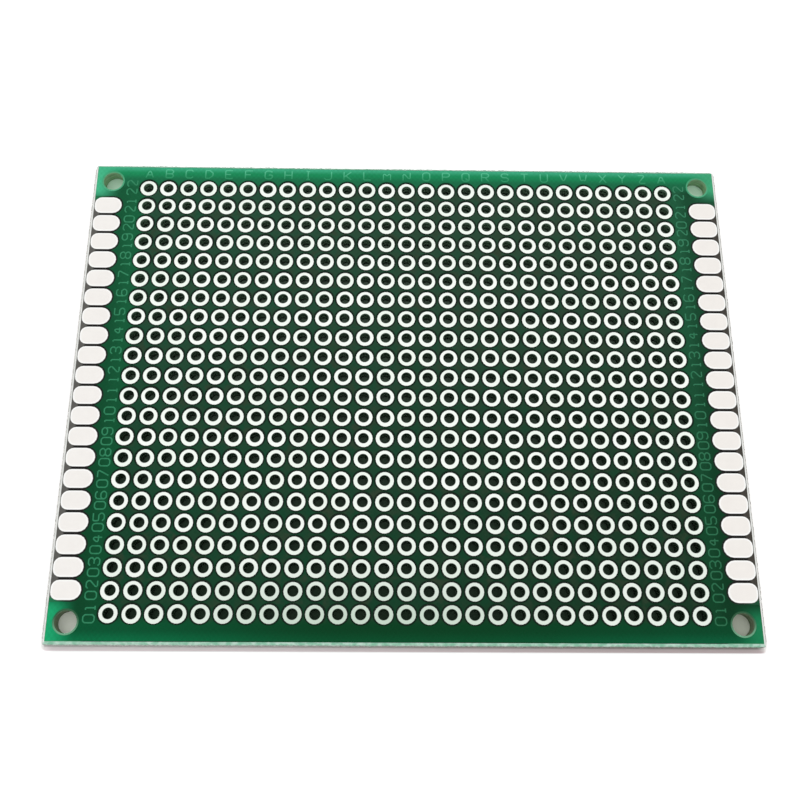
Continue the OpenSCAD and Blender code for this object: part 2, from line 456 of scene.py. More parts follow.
ring_tin = Finish("tin_on_rings")
ring_tin.set(Metallic=1.0)
bright = ring_tin.blend(ring_tin.attribute("tone"), looks(251, 255, 250), looks(243, 251, 242))
smear = ring_tin.maths("MULTIPLY", ring_tin.rise(ring_tin.noise(1.3, 3.0), 0.5, 0.8), 0.25)
bright = ring_tin.blend(smear, bright, looks(226, 235, 227))
less_light = ring_tin.maths("MULTIPLY_ADD", ring_tin.to_right(), 0.22, 0.22)
less_light = ring_tin.maths("MULTIPLY", ring_tin.rise(ring_tin.y, *LESS_LIGHT_Y), less_light)
bright = ring_tin.blend(less_light, bright, looks(208, 222, 209))
# A painted dark reflection: the tin is darkest in the middle of the front rows, where it would mirror
# darker surroundings in front of the board
off_reflection = ring_tin.maths("ABSOLUTE", ring_tin.maths("SUBTRACT", ring_tin.x, REFLECTION_MIDDLE_X))
painted_reflection = ring_tin.rise(off_reflection, *REFLECTION_REACH)
painted_reflection = ring_tin.maths("MULTIPLY", ring_tin.rise(ring_tin.y, *REFLECTION_Y), painted_reflection)
bright = ring_tin.blend(painted_reflection, bright, looks(199, 216, 201))
# Painted shade in the barrel: darkest on the lip, lighter deeper in, and lighter in the back rows
off_middle = ring_tin.maths("ABSOLUTE", ring_tin.maths("SUBTRACT", ring_tin.z, MIDDLE_Z / MM))
deep = ring_tin.rise(off_middle, HALF_THICK - LIP_DEPTH, HALF_THICK - WALL_DEPTH)
to_back = ring_tin.rise(ring_tin.y, *BARREL_Y)
lip = ring_tin.blend(to_back, looks(38, 53, 41), looks(66, 88, 71))
inner_wall = ring_tin.blend(to_back, looks(158, 181, 162), looks(184, 204, 188))
barrel = ring_tin.blend(deep, lip, inner_wall)
in_barrel = ring_tin.rise(ring_tin.attribute("shade"), 0.15, 0.6)
ring_tin.set(Base_Color=ring_tin.blend(in_barrel, bright, barrel))
ring_tin.set(Roughness=ring_tin.maths("MULTIPLY_ADD", ring_tin.noise(2.5, 2.0), 0.2, 0.18))
ring_tin.relief(ring_tin.noise(1.8, 2.0), 0.012)

pad_tin = Finish("tin_on_edge_pads")
pad_tin.set(Metallic=1.0)
# Painted shade: the satin tin is a little darker on the right
satin = pad_tin.blend(pad_tin.to_right(), looks(248, 245, 241), looks(246, 242, 237))
satin = pad_tin.blend(pad_tin.maths("MULTIPLY", pad_tin.noise(0.9, 3.0), 0.4), satin, looks(228, 223, 219))
# Painted light: a highlight on the rim, and a dark reflection on the steep foot of the outline
satin = pad_tin.blend(pad_tin.attribute("rim"), satin, looks(254, 254, 252))
pad_tin.set(Base_Color=pad_tin.blend(pad_tin.attribute("foot"), satin, looks(40, 38, 36)))
pad_tin.set(Roughness=pad_tin.maths("MULTIPLY_ADD", pad_tin.noise(1.5, 2.0), 0.2, 0.28))
pad_tin.relief(pad_tin.noise(1.2, 2.0), 0.012)
print("tin:", len(ring_tin.tree.nodes), "and", len(pad_tin.tree.nodes), "nodes")

# %% [markdown]
# ## A small kit for Geometry Nodes
#
# The board is a pattern: hundreds of like rings and dozens of like pads. Copying them in a loop
# would work, but a Geometry Nodes tree says the rule itself: put this shape on those points.

# %% Growing kit
class Grower:
    """A Geometry Nodes tree under construction, with named inputs."""

    def __init__(self, name):
        self.tree = bpy.data.node_groups.new(name, "GeometryNodeTree")
        self.tree.interface.new_socket("Geometry", in_out="INPUT", socket_type="NodeSocketGeometry")
        self.tree.interface.new_socket("Geometry", in_out="OUTPUT", socket_type="NodeSocketGeometry")
        self.start = self.tree.nodes.new("NodeGroupInput")
        self.end = self.tree.nodes.new("NodeGroupOutput")

    def ask(self, name, kind):
        """Adds a named input and returns where its value comes from."""
        self.tree.interface.new_socket(name, in_out="INPUT", socket_type="NodeSocket" + kind)
        return self.start.outputs[name]

    def add(self, kind, inputs, **settings):
        """Adds a node, sets its options and its inputs, and returns it."""
        node = self.tree.nodes.new(kind)
        for name, value in settings.items():
            setattr(node, name, value)
        for name, value in inputs.items():
            socket = next(s for s in node.inputs if s.name == name and s.enabled)
            if isinstance(value, bpy.types.NodeSocket):
                self.tree.links.new(value, socket)
            else:
                socket.default_value = value
        return node

    def close(self, geometry, material):
        """Ends the tree: real geometry, with its material."""
        real = self.add("GeometryNodeRealizeInstances", {"Geometry": geometry})
        done = self.add("GeometryNodeSetMaterial", {"Geometry": real.outputs[0], "Material": material})
        self.tree.links.new(done.outputs[0], self.end.inputs[0])

    def grow(self, name, values, mesh=None):
        """Runs the tree on a mesh with these input values and keeps the result as a plain mesh."""
        piece = bpy.data.objects.new(name, mesh or bpy.data.meshes.new(name + "_start"))
        scene.collection.objects.link(piece)
        modifier = piece.modifiers.new("grow", "NODES")
        modifier.node_group = self.tree
        for socket in self.tree.interface.items_tree:
            if socket.in_out == "INPUT" and socket.name in values:
                modifier[socket.identifier] = values[socket.name]
        depsgraph = bpy.context.evaluated_depsgraph_get()
        grown = bpy.data.meshes.new_from_object(
            piece.evaluated_get(depsgraph), preserve_all_data_layers=True, depsgraph=depsgraph)
        piece.modifiers.remove(modifier)
        piece.data = grown
        grown.name = name
        return piece


def seed_shape(name, points, faces, **marks):
    """A small smooth mesh that a tree repeats. Each mark is an attribute with a number per point."""
    mesh = bpy.data.meshes.new(name)
    mesh.from_pydata(points, [], faces)
    mesh.shade_smooth()
    for mark, values in marks.items():
        mesh.attributes.new(mark, "FLOAT", "POINT").data.foreach_set("value", values)
    seed = bpy.data.objects.new(name, mesh)
    scene.collection.objects.link(seed)
    return seed


def triangles(piece):
    return sum(len(face.vertices) - 2 for face in piece.data.polygons)


print("growing kit ready")

# %% [markdown]
# ## Plated holes
#
# Each hole is an eyelet of plated copper: a barrel through the board with a ring on both faces,
# tinned into a low dome. The drill never hits the middle of the printed ring exactly. Part of that
# error is the same for the whole board, because the drilling was laid a little askew over the print,
# and part is chance. Moving whole copies wouldn't show it, so the tree stores a wander for each
# copy, makes the copies real and then moves each point by its share of it: none in the barrel, all
# of it on the ring.

# %% Half of one eyelet
BORE_R = 0.55 * MM
LIP_R = 0.565 * MM
LIP_DROP = 0.05 * MM
KNEE_R = 0.695 * MM
SHOULDER_R = RING_R - 0.08 * MM
SHOULDER_DROP = 0.006 * MM
EYELET_SIDES = 18


def eyelet(name, up):
    """Half an eyelet, from the middle of the barrel out to the foot of its ring. up is 1 or -1."""
    crown = CROWN_Z - MIDDLE_Z
    foot = FACE_Z - MIDDLE_Z
    # Each band edge: radius, height over the middle, share of the ring's wander, shade of the barrel
    section = [
        (BORE_R, 0.0, 0.0, 1.0),
        (LIP_R, crown - LIP_DROP, 0.0, 1.0),
        (KNEE_R, crown, 0.3, 0.0),
        (SHOULDER_R, crown - SHOULDER_DROP, 1.0, 0.0),
        (RING_R, foot, 1.0, 0.0),
    ]
    points, shares, shades = [], [], []
    for radius, height, share, shade in section:
        for i in range(EYELET_SIDES):
            angle = 2 * math.pi * i / EYELET_SIDES
            points.append((radius * math.cos(angle), radius * math.sin(angle), MIDDLE_Z + height * up))
            shares.append(share)
            shades.append(shade)
    faces = []
    for band in range(len(section) - 1):
        for i in range(EYELET_SIDES):
            j = (i + 1) % EYELET_SIDES
            inner, outer = band * EYELET_SIDES, (band + 1) * EYELET_SIDES
            face = (inner + i, outer + i, outer + j, inner + j)
            faces.append(face if up > 0 else face[::-1])
    return seed_shape(name, points, faces, share=shares, shade=shades)


print("eyelet:", EYELET_SIDES, "sides")

# %% Tree that sets eyelets on the grid
holes = Grower("plated_hole_grid")
grid = holes.add("GeometryNodeMeshGrid", {
    "Size X": holes.ask("Length", "Float"), "Size Y": holes.ask("Depth", "Float"),
    "Vertices X": holes.ask("Columns", "Int"), "Vertices Y": holes.ask("Rows", "Int")})
shape = holes.add("GeometryNodeObjectInfo", {"Object": holes.ask("Eyelet", "Object")})
placed = holes.add("GeometryNodeInstanceOnPoints", {
    "Points": grid.outputs["Mesh"], "Instance": shape.outputs["Geometry"]})
tone = holes.add("FunctionNodeRandomValue", {
    "Min": 0.0, "Max": 1.0, "Seed": holes.ask("Tone seed", "Int")})
toned = holes.add("GeometryNodeStoreNamedAttribute", {
    "Geometry": placed.outputs[0], "Name": "tone", "Value": tone.outputs["Value"]},
    data_type="FLOAT", domain="INSTANCE")

spot = holes.add("GeometryNodeInputPosition", {})
spot_parts = holes.add("ShaderNodeSeparateXYZ", {"Vector": spot.outputs[0]})
askew_x = holes.add("ShaderNodeVectorMath", {
    "Vector": holes.ask("Askew along X", "Vector"), "Scale": spot_parts.outputs["X"]}, operation="SCALE")
askew_y = holes.add("ShaderNodeVectorMath", {
    "Vector": holes.ask("Askew along Y", "Vector"), "Scale": spot_parts.outputs["Y"]}, operation="SCALE")
luck = holes.add("FunctionNodeRandomValue", {
    "Min": holes.ask("Least luck", "Vector"), "Max": holes.ask("Most luck", "Vector"),
    "Seed": holes.ask("Seed", "Int")}, data_type="FLOAT_VECTOR")
askew = holes.add("ShaderNodeVectorMath", {}, operation="ADD")
holes.tree.links.new(askew_x.outputs[0], askew.inputs[0])
holes.tree.links.new(askew_y.outputs[0], askew.inputs[1])
wander = holes.add("ShaderNodeVectorMath", {}, operation="ADD")
holes.tree.links.new(askew.outputs[0], wander.inputs[0])
holes.tree.links.new(next(s for s in luck.outputs if s.enabled), wander.inputs[1])
noted = holes.add("GeometryNodeStoreNamedAttribute", {
    "Geometry": toned.outputs[0], "Name": "wander", "Value": wander.outputs[0]},
    data_type="FLOAT_VECTOR", domain="INSTANCE")

real = holes.add("GeometryNodeRealizeInstances", {"Geometry": noted.outputs[0]})
own_wander = holes.add("GeometryNodeInputNamedAttribute", {"Name": "wander"}, data_type="FLOAT_VECTOR")
own_share = holes.add("GeometryNodeInputNamedAttribute", {"Name": "share"}, data_type="FLOAT")
shift = holes.add("ShaderNodeVectorMath", {
    "Vector": next(s for s in own_wander.outputs if s.enabled),
    "Scale": next(s for s in own_share.outputs if s.enabled)}, operation="SCALE")
moved = holes.add("GeometryNodeSetPosition", {"Geometry": real.outputs[0], "Offset": shift.outputs[0]})
bare = holes.add("GeometryNodeRemoveAttribute", {"Geometry": moved.outputs[0], "Name": "wander"})
bare = holes.add("GeometryNodeRemoveAttribute", {"Geometry": bare.outputs[0], "Name": "share"})
holes.close(bare.outputs[0], holes.ask("Finish", "Material"))
print("tree:", len(holes.tree.nodes), "nodes")

# %% Plated holes, upper and lower half
# The rings lie a little in front of their holes and, towards the sides, outside them
RING_LUCK = 0.04 * MM
RING_FORWARD = 0.03 * MM
ASKEW_PER_METRE_X = (0.57 * MM, 0.47 * MM, 0)
ASKEW_PER_METRE_Y = (0, -0.27 * MM, 0)
LUCK_SEED = 4
TONE_SEED = 9

hole_pieces = []
for name, up in (("plated_holes_upper", 1), ("plated_holes_lower", -1)):
    start = eyelet(name + "_seed", up)
    piece = holes.grow(name, {
        "Length": (COLUMNS - 1) * PITCH, "Depth": (ROWS - 1) * PITCH, "Columns": COLUMNS, "Rows": ROWS,
        "Eyelet": start, "Seed": LUCK_SEED, "Tone seed": TONE_SEED, "Finish": ring_tin.material,
        "Askew along X": ASKEW_PER_METRE_X, "Askew along Y": ASKEW_PER_METRE_Y,
        "Least luck": (-RING_LUCK, -RING_LUCK - RING_FORWARD, 0),
        "Most luck": (RING_LUCK, RING_LUCK - RING_FORWARD, 0)})
    bpy.data.objects.remove(start)
    hole_pieces.append(piece)
    print(name, triangles(piece), "triangles")

for piece in hole_pieces:
    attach(piece, "root")
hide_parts(*row_names)

# %% [markdown]
# ## Edge pads
#
# Down each short side runs a row of larger pads, round at the inner end and square with soft
# corners at the outer end. The tin pulls back from the outline and stands highest just inside it,
# so a rim with a painted highlight runs round a flatter middle, with a painted dark reflection on
# its steep foot. The outline is made of three arcs, and the same outline drawn a little smaller
# each time gives the bands of the rim.

# %% Shape of one edge pad
# Each band of the rim: how far in, its height as a share of the pad's, painted highlight of the rim,
# painted dark reflection at the foot
PAD_BANDS = [(0.0, 0.0, 0.0, 1.0), (0.05, 0.84, 1.0, 0.0), (0.12, 1.0, 1.0, 0.0), (0.28, 0.93, 0.0, 0.0)]
ROUND_END_POINTS = 9
CORNER_POINTS = 5
CORNER_R = 0.88 * MM

pad_low, pad_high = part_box("edge_pads_right_top")
PAD_COUNT = round((pad_high.y - pad_low.y) / PITCH)
PAD_W = pad_high.y - pad_low.y - (PAD_COUNT - 1) * PITCH
PAD_L = pad_high.x - pad_low.x
PAD_T = pad_high.z - pad_low.z


def arc(centre, radius, start, end, count):
    """Points on part of a circle, with its ends given in degrees."""
    turns = [math.radians(start + (end - start) * i / (count - 1)) for i in range(count)]
    return [(centre[0] + radius * math.cos(t), centre[1] + radius * math.sin(t)) for t in turns]


def pad_outline(inset):
    """Outline of a pad that points along +X from its round end at the origin, drawn in by inset."""
    half = PAD_W / 2
    corner_x, corner_y = PAD_L - CORNER_R, half - CORNER_R
    return (arc((half, 0), half - inset, 90, 270, ROUND_END_POINTS)
            + arc((corner_x, -corner_y), CORNER_R - inset, -90, 0, CORNER_POINTS)
            + arc((corner_x, corner_y), CORNER_R - inset, 0, 90, CORNER_POINTS))


def pad_shape(name):
    """One pad, banded from its outline in to its flat middle."""
    points, rim, foot = [], [], []
    for inset, height, highlight, foot_reflection in PAD_BANDS:
        outline = pad_outline(inset * MM)
        points += [(x, y, height * PAD_T) for x, y in outline]
        rim += [highlight] * len(outline)
        foot += [foot_reflection] * len(outline)
    around = len(outline)
    inmost = (len(PAD_BANDS) - 1) * around
    faces = [range(inmost, inmost + around)]
    for outer in range(0, inmost, around):
        for i in range(around):
            j = (i + 1) % around
            faces.append((outer + i, outer + j, outer + around + j, outer + around + i))
    return seed_shape(name, points, faces, rim=rim, foot=foot)


print("pads:", PAD_COUNT, "a row,", round(PAD_L / MM, 2), "by", round(PAD_W / MM, 2), "mm")

# %% Edge pads on both faces
HALF_TURN = math.pi

pads = Grower("edge_pad_row")
line = pads.add("GeometryNodeMeshLine", {
    "Count": pads.ask("Count", "Int"), "Start Location": pads.ask("First pad", "Vector"),
    "Offset": pads.ask("Step", "Vector")}, mode="OFFSET")
pad_source = pads.add("GeometryNodeObjectInfo", {"Object": pads.ask("Pad", "Object")})
pad_copies = pads.add("GeometryNodeInstanceOnPoints", {
    "Points": line.outputs["Mesh"], "Instance": pad_source.outputs["Geometry"],
    "Rotation": pads.ask("Turn", "Vector")})
pads.close(pad_copies.outputs[0], pads.ask("Finish", "Material"))

pad_seed = pad_shape("edge_pad_seed")
PAD_ROWS = (
    ("edge_pads_right_top", (0, 0, 0)),
    ("edge_pads_right_bottom", (HALF_TURN, 0, 0)),
    ("edge_pads_left_top", (0, 0, HALF_TURN)),
    ("edge_pads_left_bottom", (HALF_TURN, 0, HALF_TURN)),
)
for node, turn in PAD_ROWS:
    low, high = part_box(node)
    inner_x = low.x if "right" in node else high.x
    foot_z = low.z if "top" in node else high.z
    piece = pads.grow("tinned_" + node, {
        "Count": PAD_COUNT, "First pad": (inner_x, low.y + PAD_W / 2, foot_z), "Step": (0, PITCH, 0),
        "Pad": pad_seed, "Turn": turn, "Finish": pad_tin.material})
    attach(piece, "root")
    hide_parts(node)
    print(piece.name, triangles(piece), "triangles")
bpy.data.objects.remove(pad_seed)

# %% [markdown]
# ## Labels of the grid
#
# The rows are numbered up both sides and the columns are lettered along the far edge. On the real
# board these are hair-thin lines of copper under the mask, so they stand up slightly and look
# paler. A text object would give a heavy printed face, so each sign is drawn here as a few strokes
# on a grid of five by seven points, the way a plotter pen draws it. A tree then rounds the corners
# and gives the strokes their low, round section.

# %% Pen strokes of the signs
SIGN_W, SIGN_H = 4, 6
SIGNS = {
    "0": "10 30 41 45 36 16 05 01 10", "1": "15 26 20,10 30", "2": "05 16 36 45 44 00 40",
    "3": "05 16 36 45 44 33 13,33 42 41 30 10 01", "4": "30 36 02 42", "5": "46 06 03 33 42 41 30 10 01",
    "6": "45 36 16 05 01 10 30 41 42 33 13 02", "7": "06 46 10",
    "8": "13 04 05 16 36 45 44 33 13 02 01 10 30 41 42 33", "9": "01 10 30 41 45 36 16 05 04 13 33 44",
    "A": "00 26 40,12 32", "B": "03 33 44 45 36 06 00 30 41 42 33", "C": "45 36 16 05 01 10 30 41",
    "D": "00 06 26 44 42 20 00", "E": "46 06 00 40,03 33", "F": "46 06 00,03 33",
    "G": "45 36 16 05 01 10 30 41 43 23", "H": "06 00,46 40,03 43", "I": "26 20,16 36,10 30",
    "J": "46 41 30 10 01", "K": "06 00,46 02,13 40", "L": "06 00 40", "M": "00 06 23 46 40",
    "N": "00 06 40 46", "O": "10 30 41 45 36 16 05 01 10", "P": "00 06 36 45 44 33 03",
    "Q": "10 30 41 45 36 16 05 01 10,22 40", "R": "00 06 36 45 44 33 03,23 40",
    "S": "45 36 16 05 04 13 33 42 41 30 10 01", "T": "06 46,26 20", "U": "06 01 10 30 41 46",
    "V": "06 20 46", "W": "06 10 23 30 46", "X": "06 40,00 46", "Y": "06 23 46,23 20", "Z": "06 46 00 40",
}
LETTERS = "ABCDEFGHIJKLMNOPQRSTUVWXYZ"
ROW_LABEL_X = 35.1 * MM
ROW_SIGN_W, ROW_SIGN_H, ROW_SIGN_STEP = 0.87 * MM, 1.25 * MM, 1.19 * MM
COLUMN_LABEL_Y = 28.75 * MM
COLUMN_SIGN_W, COLUMN_SIGN_H = 0.92 * MM, 1.15 * MM


def pen_strokes(sign, place):
    """The strokes of one sign, with each grid point put on the board by place(across, up)."""
    strokes = []
    for stroke in SIGNS[sign].split(","):
        strokes.append([place(int(p[0]) / SIGN_W - 0.5, int(p[1]) / SIGN_H - 0.5) for p in stroke.split()])
    return strokes


strokes = []
for row in range(ROWS):
    y = (row - (ROWS - 1) / 2) * PITCH
    for x in (-ROW_LABEL_X, ROW_LABEL_X):
        for place_in_pair, sign in enumerate("%02d" % (row + 1)):
            start = y + (place_in_pair - 0.5) * ROW_SIGN_STEP
            strokes += pen_strokes(sign, lambda across, up, x=x, start=start: (
                x - up * ROW_SIGN_H, start + across * ROW_SIGN_W, MASK_Z))
for column in range(COLUMNS):
    x = (column - (COLUMNS - 1) / 2) * PITCH
    strokes += pen_strokes(LETTERS[column % len(LETTERS)], lambda across, up, x=x: (
        x + across * COLUMN_SIGN_W, COLUMN_LABEL_Y + up * COLUMN_SIGN_H, MASK_Z))

points, edges = [], []
for stroke in strokes:
    edges += [(len(points) + i, len(points) + i + 1) for i in range(len(stroke) - 1)]
    points += stroke
stroke_mesh = bpy.data.meshes.new("label_strokes")
stroke_mesh.from_pydata(points, edges, [])
print("labels:", len(strokes), "strokes")

# %% Strokes to raised lines
STROKE_W = 0.17 * MM
STROKE_RISE = 0.016 * MM
STROKE_CORNER_R = 0.14 * MM
CORNER_CUTS = 2
NIB_SIDES = 8
# Where the column letters start, and where the painted glow of the back edge makes them paler, in
# millimetres from the middle
LETTERS_Y = (27.9, 28.1)
PALER_Y = (28.2, 29.3)

label_green = Finish("mask_over_label_lines")
to_back = label_green.to_back()
# Painted light: the label lines are paler towards the back and on the left, like the mask round them
left_pale = label_green.blend(to_back, looks(52, 134, 96), looks(57, 141, 101))
right_pale = label_green.blend(to_back, looks(46, 110, 77), looks(58, 132, 98))
pale = label_green.blend(label_green.to_right(), left_pale, right_pale)
worn = label_green.maths("MULTIPLY", label_green.rise(label_green.noise(1.2, 2.0), 0.45, 0.7), 0.5)
pale = label_green.blend(worn, pale, looks(34, 112, 74))
up_strip = label_green.rise(label_green.y, *PALER_Y)
letters = label_green.blend(up_strip, looks(50, 150, 103), looks(86, 190, 146))
pale = label_green.blend(label_green.rise(label_green.y, *LETTERS_Y), pale, letters)
label_green.set(Base_Color=pale, Specular_IOR_Level=MASK_GLOSS)
label_green.set(Roughness=label_green.maths("MULTIPLY_ADD", label_green.noise(1.6, 2.0), 0.16, 0.2))

pen = Grower("label_pen")
paths = pen.add("GeometryNodeMeshToCurve", {"Mesh": pen.start.outputs[0]})
rounded = pen.add("GeometryNodeFilletCurve", {
    "Curve": paths.outputs[0], "Count": CORNER_CUTS, "Radius": pen.ask("Corner", "Float"),
    "Limit Radius": True}, mode="POLY")
nib = pen.add("GeometryNodeCurvePrimitiveCircle", {
    "Resolution": NIB_SIDES, "Radius": pen.ask("Half width", "Float")})
flat_nib = pen.add("GeometryNodeTransform", {
    "Geometry": nib.outputs[0], "Scale": pen.ask("Nib scale", "Vector")})
drawn = pen.add("GeometryNodeCurveToMesh", {
    "Curve": rounded.outputs[0], "Profile Curve": flat_nib.outputs[0], "Fill Caps": True})
smooth = pen.add("GeometryNodeSetShadeSmooth", {"Geometry": drawn.outputs[0], "Shade Smooth": True})
pen.close(smooth.outputs[0], pen.ask("Finish", "Material"))
labels = pen.grow("grid_labels", {
    "Corner": STROKE_CORNER_R, "Half width": STROKE_W / 2,
    "Nib scale": (1.0, 2 * STROKE_RISE / STROKE_W, 1.0), "Finish": label_green.material}, stroke_mesh)
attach(labels, "root")
low, high = [Vector(c) / MM for c in (labels.bound_box[0], labels.bound_box[6])]
print("labels:", triangles(labels), "triangles")
print("labels from mm", [round(c, 3) for c in low], "to", [round(c, 3) for c in high])

# %% [markdown]
# ## The broken edges
#
# Boards are made many to a panel and snapped apart along score lines, V cuts into both faces. All four
# edges therefore have a cut slope near each face and a rough torn strip of glass and resin between
# them. The solid has the flat facets. A thin fine-meshed skin is laid over them here and pushed
# outwards by noise: long chips along the slopes and ragged fibre ends on the torn strip. At the corners
# the skins meet on the same points, so no seam opens. An attribute tells the finish which is which.

# %% Finish of the torn edges
CORNER_LEAD = (board_high.x - board_high.y) / MM

torn = Finish("torn_glass_edge")
fibres = torn.noise(2.6, 4.0, (1.6, 1.6, 4.0))
to_right = torn.to_right()
# Painted light: the torn strip is lighter on the left and darker on the right
hollows = torn.blend(to_right, looks(142, 141, 137), looks(92, 89, 84))
fibre_ends = torn.blend(to_right, looks(200, 197, 193), looks(150, 144, 137))
grey = torn.blend(torn.rise(fibres, 0.35, 0.68), hollows, fibre_ends)
wisps = torn.rise(torn.noise(1.5, 3.0), 0.35, 0.7)
mint = torn.blend(wisps, looks(140, 200, 170), looks(200, 231, 215))
dull_frost = torn.blend(to_right, looks(220, 222, 218), looks(244, 246, 242))
white_frost = torn.blend(to_right, looks(241, 242, 239), looks(251, 252, 249))
frosted = torn.blend(wisps, dull_frost, white_frost)
# On the short sides x leads y by more than it does at the corners
side_lead = torn.maths("SUBTRACT", torn.maths("ABSOLUTE", torn.x), torn.maths("ABSOLUTE", torn.y))
cut_slope = torn.blend(torn.rise(side_lead, CORNER_LEAD - 0.1, CORNER_LEAD + 0.1), mint, frosted)
torn.set(Base_Color=torn.blend(torn.attribute("slope"), grey, cut_slope), Specular_IOR_Level=0.2)
torn.set(Roughness=torn.maths("MULTIPLY_ADD", torn.noise(6.0, 2.0), 0.2, 0.6))
torn.relief(torn.noise(9.0, 4.0, (1.0, 1.0, 2.0)), 0.03)
print("torn edge:", len(torn.tree.nodes), "nodes")

# %% Shape of the scored edges
MASK_RIM_GAP = 0.05 * MM
SCORE_DEPTH = 0.4 * MM
SLOPE_ROWS = 5
TORN_ROWS = 7

thickness = FACE_Z - UNDER_Z
torn_height = thickness - 2 * SCORE_DEPTH
slope_levels = [SCORE_DEPTH * i / SLOPE_ROWS for i in range(SLOPE_ROWS + 1)]
levels = slope_levels + [SCORE_DEPTH + torn_height * i / TORN_ROWS for i in range(1, TORN_ROWS)]
levels += [thickness - level for level in slope_levels[::-1]]


def reach(rim, web, level):
    """Distance of an edge from the middle at a depth below the upper face, from the rim to the web."""
    into = min(level, thickness - level)
    return rim + (web - rim) * min(1.0, into / SCORE_DEPTH)


def half_length(level):
    return reach(mask_high.x + MASK_RIM_GAP, board_high.x, level)


def half_depth(level):
    return reach(mask_high.y + MASK_RIM_GAP, board_high.y, level)


print("levels down an edge:", len(levels))

# %% Torn skin on the four edges
SKIN_STEP = 0.1 * MM
SKIN_CLEAR = 0.003 * MM
SLOPE_ROUGH = 0.022 * MM
TORN_ROUGH = 0.15 * MM
END_FADE = 0.5 * MM
# Lumps in a millimetre of the two noises, across an edge and down it
RAGGED_ACROSS, RAGGED_DOWN = 3.1, 5.0
CHIPS_ACROSS, CHIPS_DOWN = 0.9, 0.6
CHIPS_APART = 3.0


def torn_edge(name, run, out, turn):
    """The skin of one edge. run and out give half its length and its distance from the middle at a
    level, and turn takes (along, outwards) to a place on the board."""
    length = 2 * run(thickness / 2)
    count = round(length / SKIN_STEP) + 1
    points, slope = [], []
    for i in range(count):
        share = 2 * i / (count - 1) - 1
        fade = min(1.0, (1 - abs(share)) * length / 2 / END_FADE)
        for level in levels:
            into = min(level, thickness - level)
            on_slope = into < SCORE_DEPTH
            along = share * run(level)
            x, y = turn(along / MM, out(level) / MM)
            spot = Vector((x * RAGGED_ACROSS, y * RAGGED_ACROSS, level / MM * RAGGED_DOWN))
            ragged = noise.fractal(spot, 0.6, 2.0, 4)
            spot = Vector((x * CHIPS_ACROSS, y * CHIPS_ACROSS + CHIPS_APART, level / MM * CHIPS_DOWN))
            chips = noise.noise(spot)
            rough = SLOPE_ROUGH * min(1.0, 2 * into / SCORE_DEPTH) if on_slope else TORN_ROUGH
            push = rough * max(0.5 + 0.5 * ragged + 0.5 * max(chips, 0.0), 0.0)
            x, y = turn(along, out(level) + fade * (SKIN_CLEAR + push))
            points.append((x, y, FACE_Z - level))
            slope.append(1.0 if on_slope else 0.0)
    rows = len(levels)
    faces = [(i * rows + j, i * rows + j + 1, (i + 1) * rows + j + 1, (i + 1) * rows + j)
             for i in range(count - 1) for j in range(rows - 1)]
    mesh = bpy.data.meshes.new(name)
    mesh.from_pydata(points, [], faces)
    mesh.attributes.new("slope", "FLOAT", "POINT").data.foreach_set("value", slope)
    mesh.shade_smooth()
    mesh.materials.append(torn.material)
    piece = bpy.data.objects.new(name, mesh)
    scene.collection.objects.link(piece)
    return piece


EDGES = (
    ("torn_edge_front", half_length, half_depth, lambda along, out: (along, -out)),
    ("torn_edge_back", half_length, half_depth, lambda along, out: (-along, out)),
    ("torn_edge_right", half_depth, half_length, lambda along, out: (out, along)),
    ("torn_edge_left", half_depth, half_length, lambda along, out: (-out, -along)),
)
for name, run, out, turn in EDGES:
    piece = torn_edge(name, run, out, turn)
    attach(piece, "root")
    outward = Vector(turn(0, 1)).to_3d()
    mean_out = sum(face.normal.dot(outward) for face in piece.data.polygons) / len(piece.data.polygons)
    print(name, triangles(piece), "triangles, mean outward normal", round(mean_out, 2))

# %% [markdown]
# ## Floor, light and background
#
# The photograph has a white ground with only a narrow shadow round the board. An even white sky and
# one broad lamp behind the left corner give a soft shadow. It is too weak close to the board, so the
# floor is also painted darker there, and under the holes. More light would bleach the board, so the
# open floor instead gets a faint glow that lifts it to plain white, and that only the camera and
# shiny or clear surfaces see.

# %% Floor
FLOOR_SIZE = 1.5
OPEN_GLOW = 0.36
# Where the floor under the grid ends, in millimetres from the middle of the board
UNDER_GRID_X = (35.2, 34.8)
UNDER_GRID_Y = (28.4, 28.0)
# Where each tone of the shadow starts and where it is full, in millimetres past the edge
CONTACT_RUN = (-0.6, 0.0)
SHADOW_RUN = (0.12, 0.28)
OPEN_RUN = (0.55, 0.7)
# How much further past a side than past the front or back a place is, where the sides' tones take over
SIDE_TURN = (-0.9, 0.5)
# The glow starts here past the front edge, sooner past the sides, and is full further out
GLOW_START = 0.55
SOONER_ON_SIDES = 0.5
GLOW_FULL = 0.75

floor_mesh = bpy.data.meshes.new("floor")
half = FLOOR_SIZE / 2
floor_mesh.from_pydata(
    [(-half, -half, 0), (half, -half, 0), (half, half, 0), (-half, half, 0)], [], [(0, 1, 2, 3)])
floor = bpy.data.objects.new("floor", floor_mesh)
scene.collection.objects.link(floor)

paper = Finish("white_paper")
off_x = paper.maths("ABSOLUTE", paper.x)
off_y = paper.maths("ABSOLUTE", paper.y)
past_x = paper.maths("SUBTRACT", off_x, board_high.x / MM)
past_y = paper.maths("SUBTRACT", off_y, board_high.y / MM)
beyond_x = paper.maths("MAXIMUM", past_x, 0.0)
beyond_y = paper.maths("MAXIMUM", past_y, 0.0)
beyond_y_squared = paper.maths("MULTIPLY", beyond_y, beyond_y)
beyond = paper.maths("SQRT", paper.maths("MULTIPLY_ADD", beyond_x, beyond_x, beyond_y_squared))
inside = paper.maths("MINIMUM", paper.maths("MAXIMUM", past_x, past_y), 0.0)
past_edge = paper.maths("ADD", beyond, inside)
under_grid = paper.maths("MULTIPLY", paper.rise(off_x, *UNDER_GRID_X), paper.rise(off_y, *UNDER_GRID_Y))
to_back = paper.to_back()
to_right = paper.to_right()
